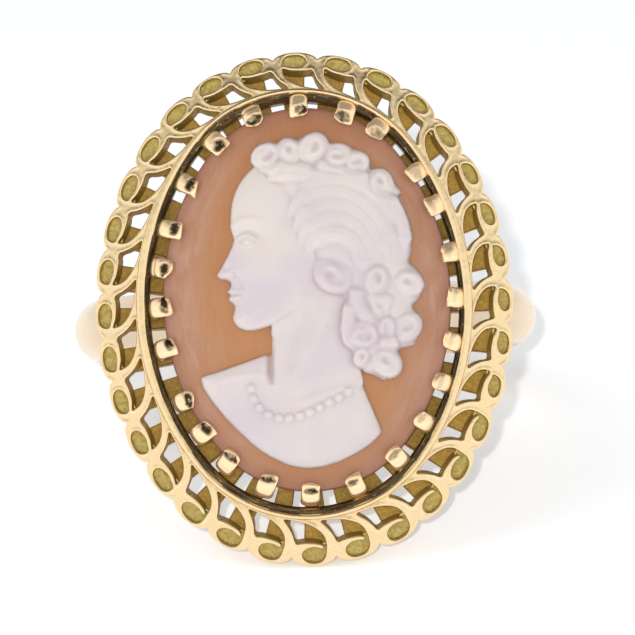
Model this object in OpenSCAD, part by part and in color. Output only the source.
// Cameo ring: a carved shell oval held by claws in a pierced gold head on a plain half-round hoop.
// The origin is the centre of the finger hole. The ring lies on its side as it rests on a table,
// with the head facing -Y and a little up.
// The modules draw the ring in its own frame first: finger along Y, head towards +Z, Z = 0 at the
// hoop's centre. lie_down() then lays it in the resting pose.

/* [Hoop] */
// Inner diameter of the hoop
finger_d = 17; // [15:0.5:21]
// Thickness of the hoop at its crown
hoop_t = 1.5; // [1.2:0.1:1.9]
// Thickness of the hoop at its two edges
hoop_edge_t = 0.7; // [0.5:0.05:0.9]
// Width of the hoop along the finger
hoop_w = 2.5; // [2:0.1:3.2]

/* [Stone] */
// Width of the oval shell
stone_w = 12; // [11:0.5:14]
// Length of the oval shell
stone_l = 16; // [15:0.5:18]
// Thickness of the shell at its edge
stone_edge_t = 1.1; // [0.9:0.1:1.4]
// Rise of the domed brown ground above the shell's edge
ground_rise = 0.7; // [0.4:0.1:1]
// Height of the white carving above the ground
relief_h = 0.9; // [0.6:0.1:1.2]
// Gap all round between the shell and the gold
stone_gap = 0.05; // [0.03:0.01:0.1]
// How far the shell sits to the right of the bezel's middle
stone_right = 0.12; // [-0.15:0.01:0.15]
// How far the shell sits above the bezel's middle, towards its upper end
stone_up = 0.1; // [-0.15:0.01:0.15]

/* [Bezel and claws] */
// Distance from the shell's edge to the inside of the bezel
bezel_in = 0.45; // [0.4:0.05:0.6]
// Thickness of the bezel wall
bezel_wall = 0.55; // [0.4:0.05:0.65]
// Height of the bezel's rim above the shell's edge
bezel_over = 0.25; // [0.1:0.05:0.4]
// How far the bezel sits above the border's middle, towards the shell's upper end
bezel_up = 0.18; // [-0.2:0.01:0.2]
// Number of claws
claw_count = 24; // [20:4:28]
// Width of a claw
claw_w = 0.85; // [0.6:0.05:0.95]
// Thickness of a claw where it folds over the shell
claw_t = 0.34; // [0.25:0.02:0.4]
// Reach of a claw over the shell's edge
claw_reach = 0.45; // [0.3:0.05:0.6]

/* [Scroll border] */
// Number of scrolls round the border
scroll_count = 32; // [28:4:36]
// Width of the border outside the bezel
border_w = 1.75; // [1.5:0.05:1.9]
// How far the border's top face lies below the bezel's rim
border_drop = 0.4; // [0.3:0.05:0.6]
// Lean of the border's walls towards the middle, over their depth
border_lean = 0.2; // [0.1:0.05:0.3]
// Depth of the loops, down to the collar that closes them
loop_depth = 0.5; // [0.4:0.05:0.7]

/* [Fins and base] */
// Reach of the fins under the shell's edge
fin_under = 0.45; // [0.3:0.05:0.6]
// Height of the fins
fin_h = 2.2; // [1.8:0.1:3]
// How far the collar over the fins reaches down below the shell's seat
collar_h = 0.6; // [0.4:0.1:1]
// Width of the fins' foot, as a share of the width of their top
fin_foot = 0.74; // [0.7:0.01:0.8]
// Width of a slot between two fins, as a share of a scroll
slot_share = 0.42; // [0.3:0.02:0.5]
// Radial width of the oval base under the fins
base_w = 1.3; // [1:0.1:1.6]
// Height of the oval base at its sides, where it meets the hoop
base_h = 1.8; // [1.6:0.05:2.2]
// Gap between the base and the finger
finger_gap = 0.3; // [0.2:0.05:0.5]

/* [Hidden] */

finger_r = finger_d / 2;
hoop_r = finger_r + hoop_t;

// The shell's oval is drawn with four arcs: a flat one at each side and a tight one at each end.
// end_fullness says how much rounder the ends are than those of an ellipse.
end_fullness = 1.1;
side_a = stone_w / 2;
end_b = stone_l / 2;
end_r = side_a * side_a / end_b * end_fullness;
side_r = (side_a * side_a + end_b * end_b - 2 * end_b * end_r) / (2 * (side_a - end_r));
side_turn = atan2(end_b - end_r, side_r - side_a);

// Distances from the shell's edge, outward
bezel_out = bezel_in + bezel_wall;
border_out = bezel_out + border_w;
loop_share = 0.72;
loop_off = bezel_out + loop_share * border_w;

// Heights in the ring's own frame. Soldered parts run into each other by weld.
weld = 0.1;
base_end_h = 0.6;
fin_z = finger_r + finger_gap + base_end_h;
seat_z = fin_z + fin_h;
shell_z = seat_z + stone_gap;
girdle_z = shell_z + stone_edge_t;
rim_z = girdle_z + bezel_over;
border_z = rim_z - border_drop;
border_foot_z = seat_z - weld;

// A quarter of the oval through the loops' centres, measured along its two arcs
side_len = (side_r + loop_off) * side_turn * PI / 180;
end_len = (end_r + loop_off) * (90 - side_turn) * PI / 180;
quarter = side_len + end_len;

// The middle of the shell and its claws
stone_mid = [stone_right, bezel_up + stone_up];

// The claws are set by hand, not evenly. Each one's shift from its even place, in claw spacings,
// in the order of their turns from the right-hand side.
claw_shift = [
    0.11, 0.02, -0.15, -0.24, -0.25, -0.04, 0.10, 0.22, 0.29, 0.19, -0.07, 0.05,
    -0.08, -0.22, -0.41, -0.42, -0.34, -0.17, 0.00, 0.12, 0.04, 0.33, 0.10, 0.13
];
function claw_turn(i) = (i + claw_shift[i % len(claw_shift)]) / claw_count;

// The point of the first quarter at a distance along the oval, moved outward by off
function quarter_point(along, off) =
    along <= side_len
    ? let (a = along / (side_r + loop_off) * 180 / PI)
        [side_a - side_r + (side_r + off) * cos(a), (side_r + off) * sin(a)]
    : let (a = side_turn + (along - side_len) / (end_r + loop_off) * 180 / PI)
        [(end_r + off) * cos(a), end_b - end_r + (end_r + off) * sin(a)];

// A point of the head: turn runs clockwise from the right-hand side, one whole turn is 1
function head_point(turn, off) =
    let (
        t = turn - floor(turn),
        q = floor(t * 4),
        along = (t * 4 - q) * quarter,
        p = quarter_point(q % 2 == 0 ? along : quarter - along, off)
    )
    [q == 1 || q == 2 ? -p[0] : p[0], q < 2 ? -p[1] : p[1]];

// The outward direction of the oval at a turn, in degrees
function head_angle(turn) =
    let (d = head_point(turn, 1) - head_point(turn, 0))
    atan2(d[1], d[0]);

// A point of one scroll: across in scrolls from the loop's centre, out as a share of the border
function scroll_point(scroll, across, out) =
    head_point((scroll + across) / scroll_count, bezel_out + out * border_w) + [0, bezel_up * (1 - out)];

// The border's walls narrow by this scale from its top face down to a depth
border_mid_r = (side_a + end_b) / 2 + loop_off;
function border_scale(depth) = 1 - border_lean * depth / (border_z - border_foot_z) / border_mid_r;
border_foot_scale = border_scale(border_z - border_foot_z);

// Lays the ring on its side: the far edge of the hoop and the lower end of the border touch the table
function turn_to_touch(y, z) = atan2(y - hoop_w / 2, z + finger_r + hoop_edge_t);
rest_turn = max(
    turn_to_touch(end_b + border_out, border_z),
    turn_to_touch((end_b + border_out) * border_foot_scale, border_foot_z)
);
module lie_down() {
    rotate([90 - rest_turn, 0, 0]) children();
}

module oval(off, steps = 96) {
    polygon([for (i = [0:steps - 1]) head_point(-i / steps, off)]);
}

module oval_band(inner, outer) {
    difference() {
        oval(outer);
        oval(inner);
    }
}

module hoop() {
    crown_r = (hoop_w * hoop_w / 4 + (hoop_t - hoop_edge_t) ^ 2) / (2 * (hoop_t - hoop_edge_t));
    rotate([90, 0, 0]) rotate_extrude($fn = 128) intersection() {
        translate([finger_r, -hoop_w / 2]) square([hoop_t, hoop_w]);
        translate([hoop_r - crown_r, 0]) circle(r = crown_r, $fn = 96);
    }
}

// One scroll's two openings, in shares of a scroll across and of the border outward
loop_half = [0.28, 0.165];
loop_mid = 0.78;
loop_sides = 12;
gap_outline = [
    // across, out
    [-0.355, 0.56],
    [-0.300, 0.40],
    [-0.100, 0.22],
    [0.200, 0.09],
    [0.500, 0.03],
    [0.780, 0.03],
    [0.620, 0.25],
    [0.480, 0.44],
    [0.400, 0.53],
    [0.180, 0.47],
    [-0.060, 0.46],
    [-0.250, 0.50]
];

module scroll_openings(scroll) {
    polygon([
        for (i = [0:loop_sides - 1])
            let (a = i * 360 / loop_sides)
            scroll_point(scroll, loop_half[0] * cos(a), loop_mid + loop_half[1] * sin(a))
    ]);
    polygon([for (p = gap_outline) scroll_point(scroll, p[0], p[1])]);
}

// The round lobes of the outer edge meet in notches
notch_depth = 0.19;
lobe_steps = [-0.5, -0.44, -0.33, -0.18, 0, 0.18, 0.33, 0.44];
module scalloped_oval(reach) {
    polygon([
        for (scroll = [scroll_count - 1:-1:0], k = [len(lobe_steps) - 1:-1:0])
            let (f = lobe_steps[k])
            scroll_point(scroll, f, reach - notch_depth * (1 - sqrt(1 - 4 * f * f)))
    ]);
}

module scroll_border() {
    translate([0, 0, border_z]) mirror([0, 0, 1])
        linear_extrude(height = border_z - border_foot_z, scale = border_foot_scale) difference() {
            scalloped_oval(1);
            translate([0, bezel_up]) oval((bezel_in + bezel_out) / 2);
            for (scroll = [0:scroll_count - 1]) scroll_openings(scroll);
        }
}

module bezel() {
    translate([0, bezel_up, border_foot_z]) linear_extrude(rim_z - border_foot_z)
        oval_band(bezel_in, bezel_out);
}

// The collar closes the loops from below. Its outside leans with the border and its inside is upright.
collar_share = 0.42;
collar_reach = 0.95;
collar_in = bezel_out + collar_share * border_w;
module collar() {
    top = border_z - loop_depth;
    foot = seat_z - collar_h;
    difference() {
        translate([0, 0, top]) mirror([0, 0, 1])
            linear_extrude(height = top - foot, scale = border_scale(top - foot))
                scalloped_oval(collar_reach);
        translate([0, bezel_up * (1 - collar_share), foot - weld])
            linear_extrude(top - foot + 2 * weld) oval(collar_in);
    }
}

// A slot lies beside each loop, under the free side of the scroll's gap, and runs the fins' whole width
slot_mid = 0.42;
slot_in = -0.35 * side_a;
slot_out = collar_in + abs(bezel_up) + 2 * weld;
module slot(scroll) {
    polygon([
        for (corner = [[-1, slot_in], [1, slot_in], [1, slot_out], [-1, slot_out]])
            head_point((scroll + slot_mid + corner[0] * slot_share / 2) / scroll_count, corner[1])
    ]);
}

// The fins hang from the collar and lean in to the base, with daylight straight through between them
module fins() {
    difference() {
        translate([0, 0, seat_z]) mirror([0, 0, 1])
            linear_extrude(height = fin_h + weld, scale = fin_foot)
                oval_band(-fin_under, collar_in + abs(bezel_up) + weld);
        translate([0, 0, fin_z - 2 * weld]) linear_extrude(fin_h + 3 * weld)
            for (scroll = [0:scroll_count - 1]) slot(scroll);
    }
}

module base() {
    foot_off = -side_a * (1 - fin_foot);
    difference() {
        translate([0, 0, fin_z - base_h]) linear_extrude(base_h)
            oval_band(foot_off - base_w / 2, foot_off + base_w / 2);
        rotate([90, 0, 0]) cylinder(r = finger_r + finger_gap, h = stone_l * 2, center = true, $fn = 128);
    }
}

// A claw in profile: distance from the shell's edge, and height above the shell's seat
module claw_profile() {
    top = girdle_z - seat_z;
    polygon([
        [(bezel_in + bezel_out) / 2, -weld],
        [(bezel_in + bezel_out) / 2, 0.6 * top],
        [bezel_in - 0.05, 0.85 * top],
        [stone_gap + claw_t, top + 0.6 * claw_t],
        [stone_gap + 0.2 * claw_t, top + stone_gap + 1.4 * claw_t],
        [-0.6 * claw_reach, top + stone_gap + 1.6 * claw_t],
        [-claw_reach, top + stone_gap + 1.2 * claw_t],
        [-claw_reach, top + stone_gap + 0.6 * claw_t],
        [-0.3 * claw_reach, top + stone_gap + 0.3 * claw_t],
        [stone_gap, top + stone_gap],
        [stone_gap, -weld]
    ]);
}

module claw(turn) {
    foot = head_point(turn, 0) + stone_mid;
    translate([foot[0], foot[1], seat_z]) rotate([90, 0, head_angle(turn)])
        linear_extrude(claw_w, center = true) claw_profile();
}

module ring_mount() {
    color([0.94, 0.80, 0.52]) lie_down() union() {
        hoop();
        base();
        fins();
        collar();
        scroll_border();
        bezel();
        for (i = [0:claw_count - 1]) claw(claw_turn(i));
    }
}

// The carving is a figure in profile facing left, built up from soft rounded lumps.
// Places and half sizes are shares of the shell's half length, and rise is a share of relief_h.
figure = [
    // across, up, half length, half width, turn, rise
    [-0.160, 0.270, 0.385, 0.225, 84, 0.62],
    [-0.190, 0.520, 0.210, 0.180, 60, 0.60],
    [-0.395, 0.265, 0.120, 0.045, 66, 0.50],
    [-0.425, 0.215, 0.052, 0.040, 0, 0.52],
    [-0.375, 0.115, 0.042, 0.026, 10, 0.48],
    [-0.368, 0.070, 0.040, 0.026, -10, 0.46],
    [-0.330, -0.020, 0.070, 0.062, 0, 0.50],
    [-0.120, 0.030, 0.240, 0.120, 24, 0.60],
    [0.110, 0.240, 0.085, 0.045, 100, 0.70],
    [0.030, -0.130, 0.330, 0.165, 80, 0.48],
    [0.000, -0.360, 0.300, 0.140, 16, 0.46],
    [-0.290, -0.395, 0.260, 0.110, 22, 0.44],
    [0.130, -0.500, 0.300, 0.210, -35, 0.44],
    [-0.120, -0.600, 0.340, 0.200, -22, 0.42],
    [0.120, 0.520, 0.390, 0.320, 14, 0.86],
    [0.280, 0.290, 0.250, 0.200, -60, 0.84]
];

// Rolled curls run in rows over the head: from, to and how many, on ovals round the crown
curl_rows = [
    // reach across, reach up, first angle, last angle, curls, half size, rise
    [0.365, 0.300, 172, -64, 13, 0.070, 0.88],
    [0.255, 0.200, 160, -50, 9, 0.066, 0.96],
    [0.130, 0.100, 140, -60, 5, 0.064, 1.00]
];
crown = [0.115, 0.500];
curls = [
    for (row = curl_rows, i = [0:row[4] - 1])
        let (a = row[2] + (row[3] - row[2]) * i / (row[4] - 1))
        [
            crown[0] + row[0] * cos(a), crown[1] + row[1] * sin(a),
            row[5] * 1.25, row[5] * 0.8, a + 60, row[6]
        ]
];

// A string of beads follows a sagging curve across the neck
bead_count = 11;
beads = [
    for (i = [0:bead_count - 1])
        let (t = i / (bead_count - 1))
        [-0.290 + 0.470 * t, -0.440 - 0.090 * sin(180 * t), 0.026, 0.026, 0, 0.62]
];
lumps = concat(figure, curls, beads);

function lump_rise(lump, x, y) =
    let (
        dx = x / end_b - lump[0],
        dy = y / end_b - lump[1],
        along = (dx * cos(lump[4]) + dy * sin(lump[4])) / lump[2],
        beside = (dy * cos(lump[4]) - dx * sin(lump[4])) / lump[3],
        inside = 1 - along * along - beside * beside
    )
    inside > 0 ? lump[5] * relief_h * pow(inside, 0.4) : 0;

function relief_rise(x, y) = max([for (lump = lumps) lump_rise(lump, x, y)]);

// The carving sinks into the ground before it reaches the claws: none of it within claw_clear of
// their tips, and all of it from claw_fade further in
claw_clear = 0.2;
claw_fade = 0.25;
function clear_share(edge_gap) = min(1, max(0, (edge_gap - claw_reach - claw_clear) / claw_fade));

// The shell's top is a net of rings and spokes over the domed ground
rings = 34;
spokes = 96;
ring_points = [
    for (r = [1:rings], k = [0:spokes - 1])
        let (
            share = r / rings,
            edge = head_point(-k / spokes, 0),
            p = edge * share,
            ground = girdle_z + ground_rise * (1 - share * share)
        )
        [p[0], p[1], ground + relief_rise(p[0], p[1]) * clear_share(norm(edge) * (1 - share))]
];
foot_points = [for (k = [0:spokes - 1]) concat(head_point(-k / spokes, 0), shell_z)];
function on_ring(r, k) = 1 + (r - 1) * spokes + (k % spokes);

module cameo() {
    color([0.72, 0.50, 0.38]) lie_down() translate(stone_mid) polyhedron(
        points = concat([[0, 0, girdle_z + ground_rise + relief_rise(0, 0)]], ring_points, foot_points),
        faces = concat(
            [for (k = [0:spokes - 1]) [0, on_ring(1, k + 1), on_ring(1, k)]],
            [for (r = [1:rings], k = [0:spokes - 1]) [on_ring(r, k), on_ring(r, k + 1), on_ring(r + 1, k)]],
            [for (r = [1:rings], k = [0:spokes - 1])
                [on_ring(r, k + 1), on_ring(r + 1, k + 1), on_ring(r + 1, k)]],
            [[for (k = [0:spokes - 1]) on_ring(rings + 1, k)]]
        )
    );
}

ring_mount();
cameo();
